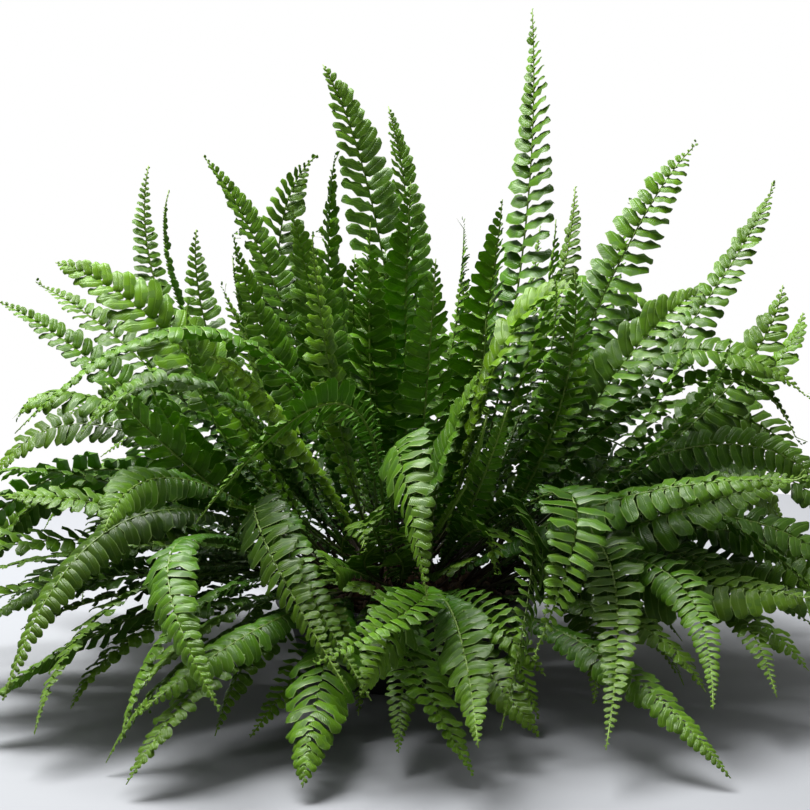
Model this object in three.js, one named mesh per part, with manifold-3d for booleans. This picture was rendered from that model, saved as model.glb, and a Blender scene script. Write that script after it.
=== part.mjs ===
// A potted sword fern: a low plastic pot, its soil, and a dense mound of arching fronds.
// Every frond is one thin blade cut to the rib into leaflets. The fronds grow in tufts, each from
// its own short crown that stands in a hole in the soil.
// Millimetres, +Z up. The origin is the middle of the pot's underside, and -Y is the front.

import * as THREE from "three";
import { mergeVertices } from "three/addons/utils/BufferGeometryUtils.js";
import Module from "manifold-3d";

const wasm = await Module();
wasm.setup();

// Driving dimensions
const POT = {
  height: 60,
  baseRadius: 70,
  topRadius: 88,
  wall: 2.4,
  floor: 3,
  rimWidth: 3.5,
  rimHeight: 9,
  sides: 24,
  drainRadius: 5,
  drainCircle: 46,
  drainCount: 4,
};
const SOIL = { gap: 0.3, edgeHeight: 52, crownRise: 15, rings: 2 };
const CROWN = {
  count: 32,
  spread: 69,
  radius: 7,
  sides: 5,
  above: 11,
  below: 18,
  fit: 0.3,
};
const ROOT_DEPTH = 5.4; // how far in from its crown's side a frond starts
const GOLDEN_ANGLE = Math.PI * (3 - Math.sqrt(5));
const BLADE = {
  ribHalfWidth: [1.4, 0.9], // at the root and at the tip
  halfThickness: [1.22, 0.42],
  leafletSpacing: 120, // few and large, to keep the solids light
  chosenSpacing: 110,
  leafletSweep: 0.3, // how far a leaflet leans towards the tip, by its own length
  droop: 0.14, // how far a leaflet's tip hangs below the rib, by its own length
  leastReach: 0.25, // how far from a straight rib a leaflet ends at least, by its own length
};
const MOST_PER_TUFT = 18;
// Fronds drawn by rule end near the shell of a dome, zone by zone from the pot's skirt upwards.
// high: the sine of a tip's climb over the floor; radius and height: the dome's; depth: how far out
// towards it a tip ends; veer: how far round a blade turns aside, in radians; arch: how high a
// drooping frond's bend stands over its tip; out: how far out the bend lies; stand: how upright
// the blade ends; half and bare: as for the chosen fronds.
const ZONES = [
  {
    seed: 20001,
    count: 44,
    high: [0, 0.14],
    radius: 215,
    height: 240,
    depth: [0.68, 1],
    veer: 0.5,
    arch: [50, 116],
    out: [0.62, 0.82],
    stand: [0, 0],
    twist: 44,
    half: [12, 17],
    bare: [0.14, 0.24],
  },
  {
    seed: 3001,
    count: 190,
    high: [0, 0.24],
    radius: 352,
    height: 240,
    depth: [0.46, 1],
    veer: 0.6,
    arch: [40, 190],
    out: [0.4, 0.8],
    stand: [0, 0],
    twist: 60,
    half: [15, 22],
    bare: [0.22, 0.38],
  },
  {
    seed: 1,
    count: 62,
    high: [0.6, 0.985],
    radius: 310,
    height: 322,
    depth: [0.76, 1.04],
    veer: 0.2,
    arch: [10, 30],
    out: [0.78, 1.02],
    stand: [0.85, 1],
    twist: 50,
    half: [17, 25],
    bare: [0.16, 0.3],
  },
  {
    seed: 10001,
    count: 200,
    high: [0.12, 0.7],
    radius: 352,
    height: 292,
    depth: [0.7, 1.04],
    veer: 0.36,
    arch: [40, 190],
    out: [0.5, 0.9],
    stand: [0, 0.9],
    twist: 66,
    half: [16, 24],
    bare: [0.24, 0.42],
  },
  {
    seed: 17001,
    count: 40,
    high: [0.3, 0.96],
    radius: 195,
    height: 165,
    depth: [0.6, 1.05],
    veer: 0.3,
    arch: [20, 60],
    out: [0.6, 1],
    stand: [0.3, 1],
    twist: 40,
    half: [13, 19],
    bare: [0.16, 0.3],
  },
  {
    seed: 23001,
    count: 90,
    high: [0, 0.4],
    radius: 250,
    height: 230,
    depth: [0.6, 1],
    veer: 0.7,
    arch: [20, 80],
    out: [0.5, 0.8],
    stand: [0, 0],
    twist: 60,
    half: [11, 16],
    bare: [0.24, 0.36],
  },
];
const FOOT = 10; // the lowest height that a tip is drawn at
const TRIES = 24;
const WANDER = 0.12; // how much further aside each new try may head, in radians
const GRID = { cell: 2.2, low: [-431.37, -431.37, -20.37], size: [392, 392, 250] };
const FLOOR_CLEARANCE = 7;
const RIM_CLEARANCE = 5;

// Fronds that give the mound its outline from the front. tip is where a frond ends and bend the
// point that its rib is drawn towards on the way. from is where it would like to root, twist its
// turn in degrees about the rib, half is half its width and bare the share of its length that has
// no leaflets.
const CHOSEN = [
  { tip: [262, -104, 158], bend: [150, -92, 128], from: [52, -34], twist: 44, half: 29, bare: 0.2 },
  { tip: [262, -164, 88], bend: [188, -140, 100], from: [52, -44], twist: 28, half: 27, bare: 0.18 },
  { tip: [24, -190, 10], bend: [20, -146, 92], from: [6, -62], twist: 14, half: 17, bare: 0.16 },
  { tip: [74, -176, 12], bend: [52, -140, 92], from: [24, -58], twist: -20, half: 16, bare: 0.16 },
  { tip: [-30, -182, 16], bend: [-22, -146, 92], from: [-8, -60], twist: 20, half: 15, bare: 0.16 },
  { tip: [41, -290, 8], bend: [-14, -240, 88], from: [-14, -60], twist: -16, half: 18, bare: 0.18 },
  { tip: [-60, -322, 10], bend: [-50, -262, 88], from: [-24, -58], half: 23, bare: 0.18 },
  { tip: [-214, -180, 20], bend: [-180, -166, 94], from: [-48, -40], twist: 10, half: 18, bare: 0.18 },
  { tip: [-213, -150, 98], bend: [-174, -130, 148], from: [-50, -36], twist: -14, half: 17, bare: 0.18 },
  { tip: [202, -200, 36], bend: [158, -170, 102], from: [40, -52], half: 16, bare: 0.18 },
  { tip: [-119, -216, 12], bend: [-96, -200, 96], from: [-20, -58], twist: 20, half: 15, bare: 0.18 },
  { tip: [194, -296, 8], bend: [130, -240, 88], from: [30, -58], twist: 12, half: 15, bare: 0.18 },
  { tip: [-262, -196, 18], bend: [-196, -160, 90], from: [-52, -44], twist: 36, half: 24, bare: 0.18 },
  { tip: [-17, -204, 68], bend: [-86, -196, 134], from: [-30, -50], twist: 16, half: 15, bare: 0.18 },
  { tip: [-34, -232, 60], bend: [-124, -206, 120], from: [-40, -44], twist: 16, half: 16, bare: 0.18 },
  { tip: [88, -214, 50], bend: [40, -206, 108], from: [6, -62], twist: 30, half: 15, bare: 0.18 },
  { tip: [138, -222, 24], bend: [98, -190, 116], from: [22, -58], twist: -20, half: 16, bare: 0.18 },
  { tip: [-254, -120, 58], bend: [-186, -104, 92], from: [-58, -30], twist: 26, half: 16, bare: 0.18 },
  { tip: [-182, -262, 8], bend: [-146, -222, 86], from: [-36, -54], twist: 50, half: 14, bare: 0.18 },
  { tip: [106, -252, 22], bend: [58, -250, 84], from: [8, -62], twist: 24, half: 13, bare: 0.18 },
  { tip: [-140, -300, 10], bend: [-92, -240, 86], from: [-28, -58], twist: 14, half: 18, bare: 0.18 },
  { tip: [-262, -120, 146], bend: [-208, -98, 152], from: [-56, -24], twist: -20, half: 18, bare: 0.24 },
  { tip: [-84, -234, 16], bend: [-42, -206, 90], from: [-8, -62], twist: -14, half: 13, bare: 0.18 },
  { tip: [8, -262, 14], bend: [4, -206, 84], from: [2, -62], half: 12, bare: 0.18 },
  { tip: [250, -236, 20], bend: [176, -190, 88], from: [44, -50], twist: -20, half: 17, bare: 0.18 },
  { tip: [-26, -150, 118], bend: [-30, -120, 160], from: [-14, -46], twist: 30, half: 17, bare: 0.22 },
  { tip: [58, -150, 104], bend: [56, -130, 160], from: [20, -46], twist: -30, half: 17, bare: 0.22 },
  { tip: [90, 60, 466], bend: [99, 22, 285], from: [44, 8], half: 26 },
  { tip: [-58, 46, 427], bend: [-7, 30, 341], from: [-2, 2], twist: -24, half: 25 },
  { tip: [-12, 72, 397], bend: [14, 50, 311], from: [12, 34], half: 17 },
  { tip: [-144, 62, 362], bend: [-82, 40, 290], from: [-34, 26], twist: -20, half: 19 },
  { tip: [-68, 92, 358], bend: [-124, 70, 302], from: [-40, 44], half: 21 },
  { tip: [-50, 58, 362], bend: [-69, 40, 240], from: [-20, 30], half: 19 },
  { tip: [-190, 128, 352], bend: [-211, 90, 234], from: [-50, 34], twist: -30, half: 17 },
  { tip: [-172, 96, 336], bend: [-196, 70, 258], from: [-48, 20], twist: 40, half: 12 },
  { tip: [-148, 40, 311], bend: [-156, 20, 220], from: [-46, 10], twist: -50, half: 18 },
  { tip: [-244, 10, 290], bend: [-148, -30, 270], from: [-58, -2], twist: -52, half: 27 },
  { tip: [-294, 62, 258], bend: [-211, 40, 225], from: [-62, 14], twist: -34 },
  { tip: [-272, 118, 262], bend: [-208, 80, 242], from: [-54, 32], twist: -30 },
  { tip: [-126, -128, 240], bend: [-86, -90, 226], from: [-20, -34], twist: -34, half: 21 },
  { tip: [4, -22, 348], bend: [-3, -20, 246], from: [-4, -14], half: 23 },
  { tip: [-78, -8, 326], bend: [-55, -20, 246], from: [-30, -18], twist: -40, half: 23 },
  { tip: [203, 44, 368], bend: [156, 20, 328], from: [52, 16], twist: 48, half: 23 },
  { tip: [124, 96, 338], bend: [120, 70, 250], from: [42, 40], half: 16 },
  { tip: [152, 70, 326], bend: [133, 50, 238], from: [56, 34], twist: 20, half: 19 },
  { tip: [267, 86, 338], bend: [231, 60, 259], from: [62, 30], twist: 30, half: 19 },
  { tip: [268, 36, 272], bend: [257, 10, 193], from: [64, 8], twist: 52, half: 24 },
  { tip: [292, 96, 246], bend: [278, 60, 186], from: [60, 42], twist: 20 },
  { tip: [116, -66, 279], bend: [57, -60, 285], from: [22, -24], twist: 36, half: 23 },
  { tip: [201, -56, 276], bend: [150, -50, 256], from: [50, -22], twist: 50, half: 22 },
  { tip: [214, -104, 248], bend: [207, -80, 178], from: [54, -36], twist: -16, half: 14 },
  { tip: [50, -132, 233], bend: [29, -120, 185], from: [-2, -46], twist: 62, half: 20 },
  { tip: [55, -146, 208], bend: [42, -128, 140], from: [12, -52], twist: -40, half: 11 },
  { tip: [257, -128, 162], bend: [122, -100, 164], from: [44, -44], twist: 24, half: 25 },
  { tip: [-276, -60, 137], bend: [-200, -60, 142], from: [-62, -14], half: 20 },
];

// Uniform draws from 0 to 1 that a seed fixes.
function drawsFrom(seed) {
  let state = (seed * 2654435761) % 4294967296;
  const next = () => {
    state = (state * 1664525 + 1013904223) % 4294967296;
    return state / 4294967296;
  };
  next();
  next();
  return (low, high) => low + (high - low) * next();
}

function soilHeight(radius) {
  return SOIL.edgeHeight + SOIL.crownRise * (1 - (radius / POT.topRadius) ** 2);
}

// Crown places, packed as a sunflower packs its seeds, the middle ones first.
const crowns = Array.from({ length: CROWN.count }, (_, i) => {
  const radius = CROWN.spread * Math.sqrt((i + 0.5) / CROWN.count);
  const angle = i * GOLDEN_ANGLE;
  const x = radius * Math.cos(angle);
  const y = radius * Math.sin(angle);
  return { x, y, radius, angle, ground: soilHeight(radius), fronds: [] };
});

const LEAST_RISE = 34; // what a drooping frond climbs to pass over the pot's rim

// A frond's rib is a curve from its crown, over a bend, to its tip.
function shaped(crown, wish) {
  const root = new THREE.Vector3(crown.x, crown.y, crown.ground + CROWN.above - 4);
  const tip = new THREE.Vector3(...wish.tip);
  const away = new THREE.Vector3(tip.x - root.x, tip.y - root.y, 0).normalize();
  root.addScaledVector(away, CROWN.radius - ROOT_DEPTH);
  const bend = new THREE.Vector3(...wish.bend);
  const side = new THREE.Vector3(-away.y, away.x, 0);
  const span = root.distanceTo(tip);
  const way = (root.distanceTo(bend) + bend.distanceTo(tip) + span) / 2;
  return {
    root,
    bend,
    tip,
    side,
    length: way / 1.5 + span / 6,
    twist: THREE.MathUtils.degToRad(wish.twist ?? 0),
    half: wish.half ?? Math.min(22, 7 + 0.036 * way),
    bare: wish.bare ?? 0.15,
    spacing: wish.spacing ?? BLADE.leafletSpacing,
  };
}

// Half the blade's width at a share of the frond's length: full by the middle, narrow to the tip.
function halfWidthAt(frond, share) {
  if (share <= frond.bare) return 0;
  const along = (share - frond.bare) / (1 - frond.bare);
  const filling = Math.min(1, 0.35 + along * 1.9);
  const tapering = 1 - Math.max(0, (along - 0.4) / 0.6) ** 1.4;
  return frond.half * filling * tapering;
}

// The rib's place, and the directions across the blade and out of its upper face, at a share.
function stationAt(frond, share) {
  const { root, bend, tip, side, twist } = frond;
  const left = 1 - share;
  const place = new THREE.Vector3()
    .addScaledVector(root, left * left)
    .addScaledVector(bend, 2 * left * share)
    .addScaledVector(tip, share * share);
  const along = new THREE.Vector3()
    .addScaledVector(bend.clone().sub(root), left)
    .addScaledVector(tip.clone().sub(bend), share)
    .normalize();
  const flat = side.clone().addScaledVector(along, -side.dot(along)).normalize();
  const lift = along.clone().cross(flat);
  const turn = twist * Math.min(1, share / 0.45);
  const across = flat
    .clone()
    .multiplyScalar(Math.cos(turn))
    .addScaledVector(lift, Math.sin(turn));
  const face = across.clone().cross(along).negate();
  return { place, along, across, face };
}

// Which crown holds each small cell of space, so that no frond is laid through another crown's.
const held = new Uint8Array(GRID.size[0] * GRID.size[1] * GRID.size[2]);
function cellOf(point) {
  const i = Math.floor((point.x - GRID.low[0]) / GRID.cell);
  const j = Math.floor((point.y - GRID.low[1]) / GRID.cell);
  const k = Math.floor((point.z - GRID.low[2]) / GRID.cell);
  return (k * GRID.size[1] + j) * GRID.size[0] + i;
}
const NEIGHBOURS = [-1, 0, 1].flatMap((k) =>
  [-1, 0, 1].flatMap((j) =>
    [-1, 0, 1].map((i) => (k * GRID.size[1] + j) * GRID.size[0] + i),
  ),
);
function hold(points, owner) {
  for (const point of points) {
    const cell = cellOf(point);
    for (const step of NEIGHBOURS) if (held[cell + step] === 0) held[cell + step] = owner;
  }
}

const STATIONS = 160;
const LANES = 21;
// Points spread over a frond's blade and stalk, row by row from the root.
function spotsOn(frond) {
  const rows = [];
  for (let i = 1; i <= STATIONS; i++) {
    const share = i / STATIONS;
    const { place, across, face } = stationAt(frond, share);
    const half = halfWidthAt(frond, share);
    const row = [];
    for (let lane = 0; lane < LANES; lane++) {
      const offset = half * ((2 * lane) / (LANES - 1) - 1);
      const hang = -BLADE.droop * Math.abs(offset);
      row.push(place.clone().addScaledVector(across, offset).addScaledVector(face, hang));
    }
    rows.push(half > 0 ? row : [row[0]]);
  }
  return rows;
}

const OWN_SHARE = 0.34; // a tuft's own fronds may lie close together up to this share
function isClear(rows, owner) {
  return rows.every((row, i) =>
    row.every((point) => {
      const radius = Math.hypot(point.x, point.y);
      if (point.z < FLOOR_CLEARANCE) return false;
      const pot = POT.topRadius + POT.rimWidth + RIM_CLEARANCE;
      if (radius > CROWN.spread && radius < pot && point.z < POT.height + RIM_CLEARANCE) {
        return point.z > POT.height - 4 && i < STATIONS * 0.2 && radius < POT.topRadius - 6;
      }
      if (radius < pot && point.z < POT.height - 8) return false;
      const owned = held[cellOf(point)];
      return owned === 0 || (owned === owner && i < STATIONS * OWN_SHARE);
    }),
  );
}

function tryFrond(crownIndex, wish) {
  const crown = crowns[crownIndex];
  if (crown.fronds.length >= MOST_PER_TUFT) return false;
  const frond = shaped(crown, wish);
  const rows = spotsOn(frond);
  if (!isClear(rows, crownIndex + 1)) return false;
  hold(rows.flat(), crownIndex + 1);
  crown.fronds.push(frond);
  return true;
}

// Crowns stand clear of every frond but their own.
crowns.forEach((crown, i) => {
  const points = [];
  for (let z = crown.ground; z <= crown.ground + CROWN.above; z += 2) {
    for (let a = 0; a < 6; a++) {
      const angle = (a * Math.PI) / 3;
      const reach = CROWN.radius - 1;
      points.push({
        x: crown.x + reach * Math.cos(angle),
        y: crown.y + reach * Math.sin(angle),
        z,
      });
    }
  }
  hold(points, i + 1);
});

function crownsNear(x, y) {
  return crowns
    .map((crown, index) => ({ index, distance: Math.hypot(crown.x - x, crown.y - y) }))
    .sort((a, b) => a.distance - b.distance)
    .map((found) => found.index);
}

// A chosen frond that would cross an earlier one swings a little (sideways, back or forward, or
// with its bend higher or lower), or roots a little aside.
const NEAR_CROWNS = 8;
const SWINGS = [0, 14, -14].flatMap((lift) =>
  [0, 16, -16].flatMap((depth) => [0, 12, -12, 24, -24].map((aside) => [aside, depth, lift])),
);
function placeChosen(wish) {
  for (const [aside, depth, lift] of SWINGS) {
    const [x, y, z] = wish.bend;
    const moved = {
      ...wish,
      tip: [wish.tip[0] + aside, wish.tip[1] + depth, wish.tip[2]],
      bend: [x + aside / 2, y + depth * 0.7, z + lift],
      spacing: BLADE.chosenSpacing,
    };
    for (const index of crownsNear(...wish.from).slice(0, NEAR_CROWNS)) {
      if (tryFrond(index, moved)) return;
    }
  }
}
CHOSEN.forEach(placeChosen);

// Drawn fronds leave these places open, in front of the middle and of the broad frond at the right.
const OPEN = [
  { from: -110, to: 110, depth: -70, low: 125, high: 290 },
  { from: -200, to: 110, depth: -112, low: 150, high: 290 },
  { from: 60, to: 330, depth: -100, low: 84, high: 230 },
];
function closesView([x, y, z]) {
  const within = (place) =>
    x > place.from && x < place.to && y < place.depth && z > place.low && z < place.high;
  return OPEN.some(within);
}

// The rest of the mound is drawn by rule: low fronds arch over and droop, high ones stand up.
function zoneWish(zone, number, attempt, draw) {
  const heading = number * GOLDEN_ANGLE + draw(-1, 1) * attempt * WANDER;
  const high = draw(...zone.high);
  const depth = draw(...zone.depth);
  const veer = draw(-1, 1) * zone.veer;
  const reach = depth * zone.radius * Math.sqrt(1 - high * high);
  const height = FOOT + depth * zone.height * high;
  const ground = SOIL.edgeHeight + CROWN.above;
  const standing = ground + 0.5 * (height - ground);
  const stand = draw(...zone.stand);
  const bendHeight = (1 - stand) * (height + draw(...zone.arch)) + stand * standing;
  const out = reach * draw(...zone.out);
  const rooted = CROWN.spread * (1 - 0.8 * high) * draw(0.75, 1);
  return {
    tip: [reach * Math.cos(heading + veer), reach * Math.sin(heading + veer), height],
    bend: [
      out * Math.cos(heading - veer * 0.6),
      out * Math.sin(heading - veer * 0.6),
      Math.max(bendHeight, ground + LEAST_RISE),
    ],
    from: [rooted * Math.cos(heading), rooted * Math.sin(heading)],
    twist: draw(-1, 1) * zone.twist,
    half: draw(...zone.half),
    bare: draw(...zone.bare),
  };
}
function placeDrawn(zone, number) {
  for (let attempt = 0; attempt < TRIES; attempt++) {
    const seed = zone.seed + number * TRIES + attempt;
    const wish = zoneWish(zone, number, attempt, drawsFrom(seed));
    if (closesView(wish.tip) || closesView(wish.bend)) continue;
    const near = crownsNear(...wish.from).slice(0, NEAR_CROWNS);
    if (near.some((index) => tryFrond(index, wish))) return;
  }
}
for (const zone of ZONES) {
  for (let number = 0; number < zone.count; number++) placeDrawn(zone, number);
}

// A solid that can be joined and cut, and back again.
function solidFromGeometry(geometry) {
  const bare = new THREE.BufferGeometry()
    .setAttribute("position", geometry.getAttribute("position"))
    .setIndex(geometry.index);
  const merged = mergeVertices(bare, 1e-3);
  return new wasm.Manifold(
    new wasm.Mesh({
      numProp: 3,
      vertProperties: merged.attributes.position.array,
      triVerts: new Uint32Array(merged.index.array),
    }),
  );
}

function geometryFromSolid(solid) {
  const mesh = solid.getMesh();
  const geometry = new THREE.BufferGeometry();
  geometry.setAttribute("position", new THREE.BufferAttribute(mesh.vertProperties, 3));
  geometry.setIndex(outerShell(mesh.triVerts));
  geometry.computeVertexNormals();
  return geometry;
}

// The triangles of the biggest shell: a hollow sealed in between joined roots is filled.
function outerShell(corners) {
  const parent = new Map();
  const find = (vertex) => {
    let top = vertex;
    while ((parent.get(top) ?? top) !== top) top = parent.get(top);
    parent.set(vertex, top);
    return top;
  };
  for (let i = 0; i < corners.length; i += 3) {
    parent.set(find(corners[i]), find(corners[i + 1]));
    parent.set(find(corners[i + 1]), find(corners[i + 2]));
  }
  const shells = new Map();
  for (let i = 0; i < corners.length; i += 3) {
    const shell = find(corners[i]);
    if (!shells.has(shell)) shells.set(shell, []);
    shells.get(shell).push(corners[i], corners[i + 1], corners[i + 2]);
  }
  return [...shells.values()].sort((a, b) => b.length - a.length)[0];
}

// One frond: a three-sided rib with a leaflet on each side of every stretch of the blade.
function frondGeometry(frond) {
  const { bare } = frond;
  const pairs = Math.max(2, Math.round((frond.length * (1 - bare)) / frond.spacing));
  const shares = bare > 0.33 ? [0.004, bare / 2] : [0.004];
  const firstBlade = shares.length;
  for (let i = 0; i <= pairs; i++) shares.push(bare + (0.985 - bare) * (i / pairs));
  const points = [];
  const triangles = [];
  const mixed = ([root, tip], share) => root + (tip - root) * share;
  const centres = shares.map((share) => stationAt(frond, share).place);
  const corners = shares.map((share) => {
    const { place, across, face } = stationAt(frond, share);
    const wide = mixed(BLADE.ribHalfWidth, share);
    const thick = mixed(BLADE.halfThickness, share);
    const first = points.length;
    for (const [w, t] of [
      [-wide, thick],
      [wide, thick],
      [0, -thick],
    ]) {
      points.push(place.clone().addScaledVector(across, w).addScaledVector(face, t));
    }
    return [first, first + 1, first + 2];
  });
  triangles.push(corners[0]);
  for (let i = 0; i + 1 < shares.length; i++) {
    const [a, b, c] = corners[i];
    const [d, e, f] = corners[i + 1];
    triangles.push([a, d, b], [b, d, e]);
    if (i < firstBlade) {
      triangles.push([b, e, f], [b, f, c], [a, c, f], [a, f, d]);
      continue;
    }
    const middle = shares[i] + (shares[i + 1] - shares[i]) * 0.5;
    const half = Math.max(3, halfWidthAt(frond, middle));
    const { place, along, across, face } = stationAt(frond, middle);
    const straight = centres[i].clone().add(centres[i + 1]).multiplyScalar(0.5);
    for (const hand of [1, -1]) {
      const end = place
        .clone()
        .addScaledVector(across, hand * half)
        .addScaledVector(along, half * BLADE.leafletSweep)
        .addScaledVector(face, -half * BLADE.droop);
      // in the hollow of a strong bow a leaflet would turn inside out, so the rib stays bare there
      const reach = end.clone().sub(straight).dot(across) * hand;
      if (reach < half * BLADE.leastReach) {
        triangles.push(...(hand > 0 ? [[b, e, f], [b, f, c]] : [[a, c, f], [a, f, d]]));
        continue;
      }
      // and over a bow it is laid down until it stands no steeper than the rib's own side
      const rise = end.clone().sub(straight).dot(face);
      const steepest = mixed(BLADE.halfThickness, middle) / mixed(BLADE.ribHalfWidth, middle);
      end.addScaledVector(face, Math.min(0, reach * steepest - rise));
      const top = points.push(end.clone().addScaledVector(face, 0.35)) - 1;
      const under = points.push(end.clone().addScaledVector(face, -0.35)) - 1;
      const [near, far] = hand > 0 ? [b, e] : [a, d];
      const faces = [
        [near, far, top],
        [c, under, f],
        [near, top, under],
        [near, under, c],
        [top, far, f],
        [top, f, under],
      ];
      for (const [p, q, r] of faces) triangles.push(hand > 0 ? [p, q, r] : [p, r, q]);
    }
  }
  const [a, b, c] = corners.at(-1);
  const last = points.push(stationAt(frond, 1).place) - 1;
  triangles.push([a, last, b], [b, last, c], [c, last, a]);
  return new THREE.BufferGeometry().setFromPoints(points).setIndex(triangles.flat());
}

function crownSolid(crown, extra = 0) {
  const height = CROWN.above + CROWN.below;
  const geometry = new THREE.CylinderGeometry(
    CROWN.radius - (extra ? 0 : 0.6) + extra,
    CROWN.radius + extra,
    height + (extra ? 40 : 0),
    CROWN.sides,
  );
  const lift = (CROWN.above - CROWN.below) / 2 + (extra ? 20 - extra : 0);
  geometry.rotateX(Math.PI / 2);
  geometry.translate(crown.x, crown.y, crown.ground + lift);
  return solidFromGeometry(geometry);
}

const LOOKS = {
  pot: { color: 0x2c2d2e, roughness: 0.55, metalness: 0 },
  soil: { color: 0x2a1d14, roughness: 0.95, metalness: 0 },
  leaves: [0x2f6b24, 0x3f7f2c, 0x27591f, 0x4c8f35].map((color) => {
    return { color, roughness: 0.5, metalness: 0 };
  }),
};

const outerSlope = (POT.topRadius - POT.baseRadius) / POT.height;
function potSolid() {
  const { height, wall, floor, rimWidth, rimHeight } = POT;
  const outer = (z) => POT.baseRadius + outerSlope * z;
  const profile = [
    [0, 0],
    [outer(0) - 2, 0],
    [outer(0), 2],
    [outer(height - rimHeight), height - rimHeight],
    [POT.topRadius + rimWidth, height - rimHeight],
    [POT.topRadius + rimWidth, height - 1],
    [POT.topRadius + rimWidth - 1, height],
    [outer(height) - wall, height],
    [outer(floor) - wall, floor],
    [0, floor],
  ].map(([r, z]) => new THREE.Vector2(r, z));
  const geometry = new THREE.LatheGeometry(profile, POT.sides);
  geometry.rotateX(Math.PI / 2);
  let solid = solidFromGeometry(geometry);
  for (let i = 0; i < POT.drainCount; i++) {
    const angle = ((i + 0.5) * 2 * Math.PI) / POT.drainCount;
    const drain = new THREE.CylinderGeometry(POT.drainRadius, POT.drainRadius, floor * 4, 8);
    drain.rotateX(Math.PI / 2);
    drain.translate(POT.drainCircle * Math.cos(angle), POT.drainCircle * Math.sin(angle), 0);
    solid = solid.subtract(solidFromGeometry(drain));
  }
  return solid;
}

function soilSolid() {
  const inner = (z) => POT.baseRadius + outerSlope * z - POT.wall - SOIL.gap - 0.4;
  const bottom = POT.floor + SOIL.gap;
  const edge = inner(SOIL.edgeHeight);
  const profile = [[0, bottom], [inner(bottom), bottom], [edge, soilHeight(edge)]];
  for (let i = 1; i <= SOIL.rings; i++) {
    const radius = edge * (1 - i / (SOIL.rings + 0.6));
    profile.push([radius, soilHeight(radius)]);
  }
  profile.push([0, soilHeight(0)]);
  const geometry = new THREE.LatheGeometry(
    profile.map(([r, z]) => new THREE.Vector2(r, z)),
    POT.sides,
  );
  geometry.rotateX(Math.PI / 2);
  let solid = solidFromGeometry(geometry);
  for (const crown of crowns) {
    if (crown.fronds.length > 0) solid = solid.subtract(crownSolid(crown, CROWN.fit));
  }
  return solid;
}

function named(name, solid, look) {
  const material = new THREE.MeshStandardMaterial(look);
  const mesh = new THREE.Mesh(geometryFromSolid(solid), material);
  mesh.name = name;
  return mesh;
}

const fern = new THREE.Group();
fern.add(named("pot", potSolid(), LOOKS.pot));
fern.add(named("soil", soilSolid(), LOOKS.soil));
crowns.forEach((crown, i) => {
  if (crown.fronds.length === 0) return;
  let solid = crownSolid(crown);
  for (const frond of crown.fronds) solid = solid.add(solidFromGeometry(frondGeometry(frond)));
  const name = "fern_tuft_" + String(i + 1).padStart(2, "0");
  fern.add(named(name, solid, LOOKS.leaves[i % LOOKS.leaves.length]));
});

export default fern;
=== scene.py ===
import math

import bpy
import numpy as np
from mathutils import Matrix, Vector


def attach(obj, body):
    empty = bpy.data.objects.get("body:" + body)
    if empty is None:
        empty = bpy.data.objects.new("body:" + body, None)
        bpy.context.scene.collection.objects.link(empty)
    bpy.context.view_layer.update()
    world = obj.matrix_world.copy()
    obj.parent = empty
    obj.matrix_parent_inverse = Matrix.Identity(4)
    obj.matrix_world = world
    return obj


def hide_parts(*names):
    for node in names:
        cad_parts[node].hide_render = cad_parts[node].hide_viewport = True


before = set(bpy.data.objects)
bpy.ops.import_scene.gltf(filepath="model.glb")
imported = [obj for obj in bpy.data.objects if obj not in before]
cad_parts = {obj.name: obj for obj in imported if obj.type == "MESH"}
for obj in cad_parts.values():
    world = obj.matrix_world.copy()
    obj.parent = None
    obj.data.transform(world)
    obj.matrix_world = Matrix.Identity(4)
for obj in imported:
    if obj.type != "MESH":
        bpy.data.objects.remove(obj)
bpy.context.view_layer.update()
print("frame loaded:", len(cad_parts), "nodes")

# camera, a little above the mound and square to its front, in metres as the lamp is
view = {"aimHeight": 0.191, "distance": 1.8, "tilt": 8, "lens": 114.3}
tilt = math.radians(view["tilt"])
lens = bpy.data.cameras.new("frontCamera")
lens.lens = view["lens"]
camera = bpy.data.objects.new("frontCamera", lens)
back = view["distance"] * math.cos(tilt)
rise = view["distance"] * math.sin(tilt)
camera.location = (0, -back, view["aimHeight"] + rise)
camera.rotation_euler = (math.pi / 2 - tilt, 0, 0)
bpy.context.collection.objects.link(camera)
bpy.context.scene.camera = camera

# The plant, the pot and the floor are worked out in millimetres and turned to metres where a mesh
# is made. The pot's, the soil's and the crowns' sizes are the same as in the solids.
pot = {"height": 60, "baseRadius": 70, "topRadius": 88, "wall": 2.4, "floor": 3, "rimWidth": 3.5,
       "rimHeight": 9, "drainRadius": 5, "drainCircle": 46, "drainCount": 4, "sides": 96}
pot["slope"] = (pot["topRadius"] - pot["baseRadius"]) / pot["height"]
soil = {"gap": 0.3, "edgeHeight": 52, "crownRise": 15, "crumbs": 420, "topRings": 27}
crown = {"count": 32, "spread": 69, "radius": 7, "above": 11, "below": 18, "rootDepth": 5.4,
         "rootDrop": 4, "ringStep": 2, "scales": 16}

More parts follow.
